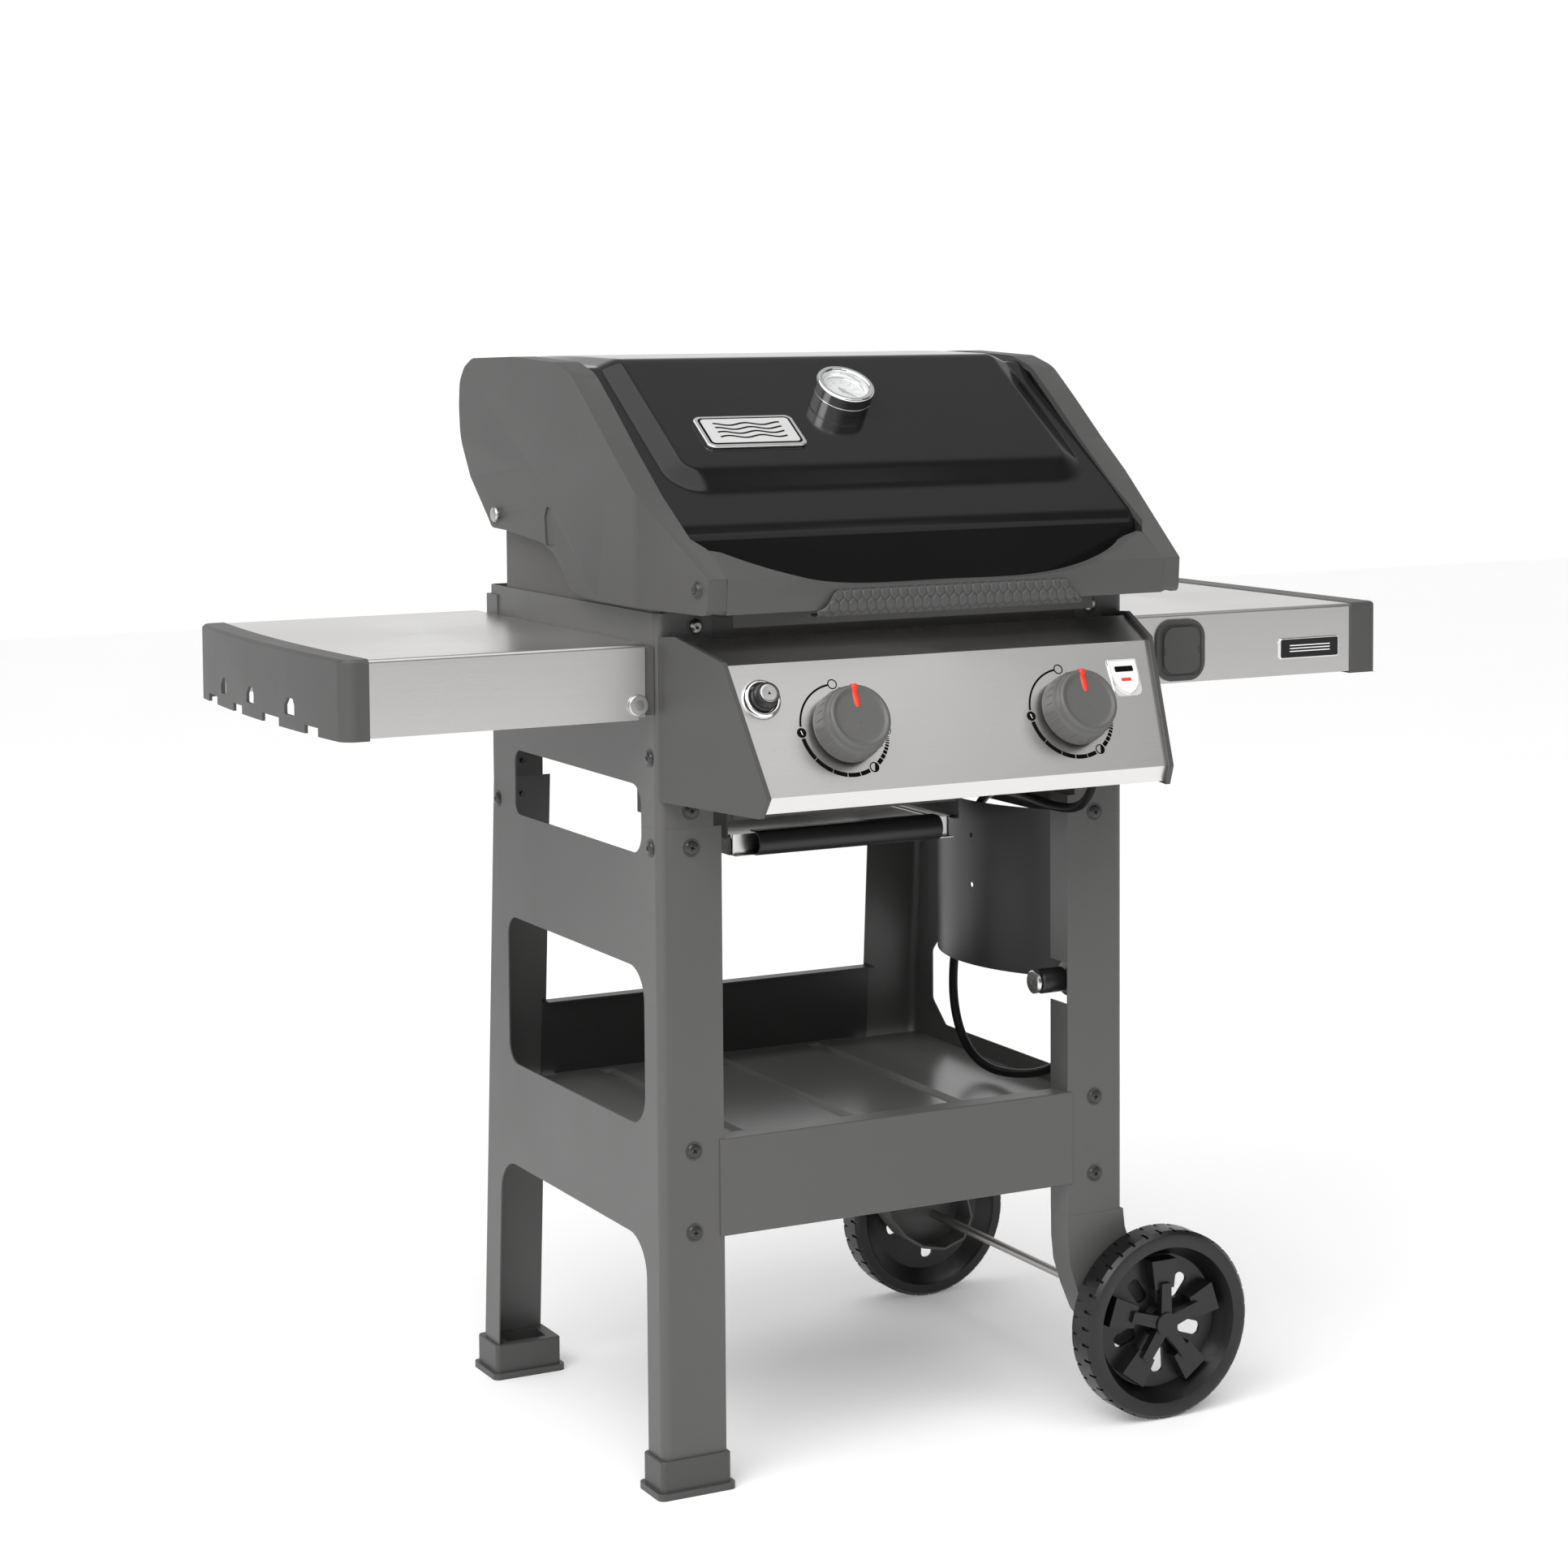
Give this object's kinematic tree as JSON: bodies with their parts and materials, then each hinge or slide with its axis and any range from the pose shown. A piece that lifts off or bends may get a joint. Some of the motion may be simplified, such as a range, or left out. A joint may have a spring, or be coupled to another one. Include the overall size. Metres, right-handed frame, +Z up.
{
  "type": "gas barbecue grill",
  "caption": "Wheeled gas barbecue grill with hinged lid, control panel, folding side table, fixed side table, grease tray and open storage shelf.",
  "frame": {"origin": "centre of the overall box at floor level", "axes": "+Z up, front of the grill towards -Y, wheels at +X"},
  "size_m": [1.219, 0.6708, 1.14],
  "materials": {
    "frame_paint": "satin warm grey powder coat",
    "shelf_paint": "dark satin enamel",
    "black_paint": "black enamel on steel",
    "enamel": "gloss black porcelain enamel",
    "cast_paint": "cast and painted warm grey",
    "cast_dark": "cast firebox, painted",
    "grate_iron": "porcelain-coated cast iron",
    "steel": "brushed stainless sheet",
    "plain_steel": "plain stainless",
    "zinc": "zinc-plated",
    "screw": "grey coated",
    "grey_plastic": "matte warm grey",
    "black_plastic": "matte black",
    "knob_plastic": "matte grey with a red pointer",
    "chrome": "polished",
    "brass": "machined",
    "alu": "bright pressed",
    "dial": "printed white dial",
    "needle": "grey",
    "glass": "clear",
    "rubber": "black",
    "wheel": "moulded black"
  },
  "bodies": {
    "cart": {"left_lower_frame": "frame_paint", "right_lower_frame": "frame_paint", "left_upper_frame": "frame_paint", "right_upper_frame": "frame_paint", "front_beam": "frame_paint", "rear_beam": "frame_paint", "bottom_shelf": "shelf_paint", "leg_feet": "grey_plastic", "front_wheel_bracket": "frame_paint", "rear_wheel_bracket": "frame_paint", "axle_rod": "zinc", "axle_hardware": "zinc", "frame_screws": "screw", "tank_shield": "black_paint", "cookbox": "cast_dark", "burner_tubes": "plain_steel", "heat_bars": "black_paint", "cooking_grates": "grate_iron", "warming_rack": "plain_steel", "tray_rails": "black_paint", "control_panel": "steel", "panel_left_cap": "grey_plastic", "panel_right_cap": "grey_plastic", "badge_plates": "chrome", "gas_manifold": "zinc", "valve_bodies": "brass", "igniter_bezel": "chrome", "table_brackets": "frame_paint", "pivot_pins": "zinc", "right_table_top": "steel", "right_table_cap": "grey_plastic", "gauge_cover": "grey_plastic", "regulator": "alu", "hose_fitting": "brass", "gas_hose": "rubber"},
    "lid": {"lid_left_casting": "cast_paint", "lid_right_casting": "cast_paint", "lid_shroud": "enamel", "lid_handle": "grey_plastic", "handle_grip": "rubber", "lid_trim": "chrome", "thermometer_bezel": "chrome", "thermometer_dial": "dial", "thermometer_glass": "glass"},
    "needle": {"thermometer_needle": "needle"},
    "left_table": {"left_table_top": "steel", "left_table_cap": "grey_plastic"},
    "tray": {"grease_tray": "alu", "tray_handle": "black_plastic", "drip_pan": "alu"},
    "stem_left": {"valve_stem_left": "brass"},
    "stem_right": {"valve_stem_right": "brass"},
    "knob_left_body": {"knob_left": "knob_plastic"},
    "knob_right_body": {"knob_right": "knob_plastic"},
    "igniter": {"igniter_button": "black_plastic"},
    "wheel_front": {"front_wheel": "wheel", "front_wheel_cap": "wheel"},
    "wheel_rear": {"rear_wheel": "wheel", "rear_wheel_cap": "wheel"},
    "nut": {"coupling_nut": "black_plastic"}
  },
  "joints": [
    {"name": "lid_hinge", "type": "hinge", "parent": "cart", "child": "lid", "pos_m": [0, 0.20049, 0.97], "axis": [-1, 0, 0], "range_deg": [0, 80]},
    {"name": "needle_turn", "type": "hinge", "parent": "lid", "child": "needle", "pos_m": [0, -0.0444, 1.09042], "axis": [0, -0.5696, 0.8219], "range_deg": [-270, 0]},
    {"name": "left_table_fold", "type": "hinge", "parent": "cart", "child": "left_table", "pos_m": [-0.293, -0.16651, 0.8004], "axis": [0, -1, 0], "range_deg": [0, 90]},
    {"name": "grease_tray_slide", "type": "slide", "parent": "cart", "child": "tray", "axis": [0, -1, 0], "range_m": [0, 0.26]},
    {"name": "knob_left_turn", "type": "hinge", "parent": "cart", "child": "stem_left", "pos_m": [-0.1302, -0.28831, 0.78], "axis": [0, -0.8976, 0.4408], "range_deg": [0, 235]},
    {"name": "knob_left_push", "type": "slide", "parent": "stem_left", "child": "knob_left_body", "axis": [0, 0.8976, -0.4408], "range_m": [0, 0.003], "stiffness_N_per_m": 900, "springref_m": -0.002},
    {"name": "knob_right_turn", "type": "hinge", "parent": "cart", "child": "stem_right", "pos_m": [0.1302, -0.28831, 0.78], "axis": [0, -0.8976, 0.4408], "range_deg": [0, 235]},
    {"name": "knob_right_push", "type": "slide", "parent": "stem_right", "child": "knob_right_body", "axis": [0, 0.8976, -0.4408], "range_m": [0, 0.003], "stiffness_N_per_m": 900, "springref_m": -0.002},
    {"name": "igniter_push", "type": "slide", "parent": "cart", "child": "igniter", "axis": [0, 0.8976, -0.4408], "range_m": [0, 0.006], "stiffness_N_per_m": 800, "springref_m": -0.002},
    {"name": "front_wheel_spin", "type": "hinge", "parent": "cart", "child": "wheel_front", "pos_m": [0.305, -0.18651, 0.102], "axis": [0, 1, 0], "continuous": true},
    {"name": "rear_wheel_spin", "type": "hinge", "parent": "cart", "child": "wheel_rear", "pos_m": [0.305, 0.31349, 0.102], "axis": [0, 1, 0], "continuous": true},
    {"name": "coupling_nut_spin", "type": "hinge", "parent": "cart", "child": "nut", "pos_m": [0.2, -0.14051, 0.474], "axis": [1, 0, 0], "continuous": true}
  ]
}
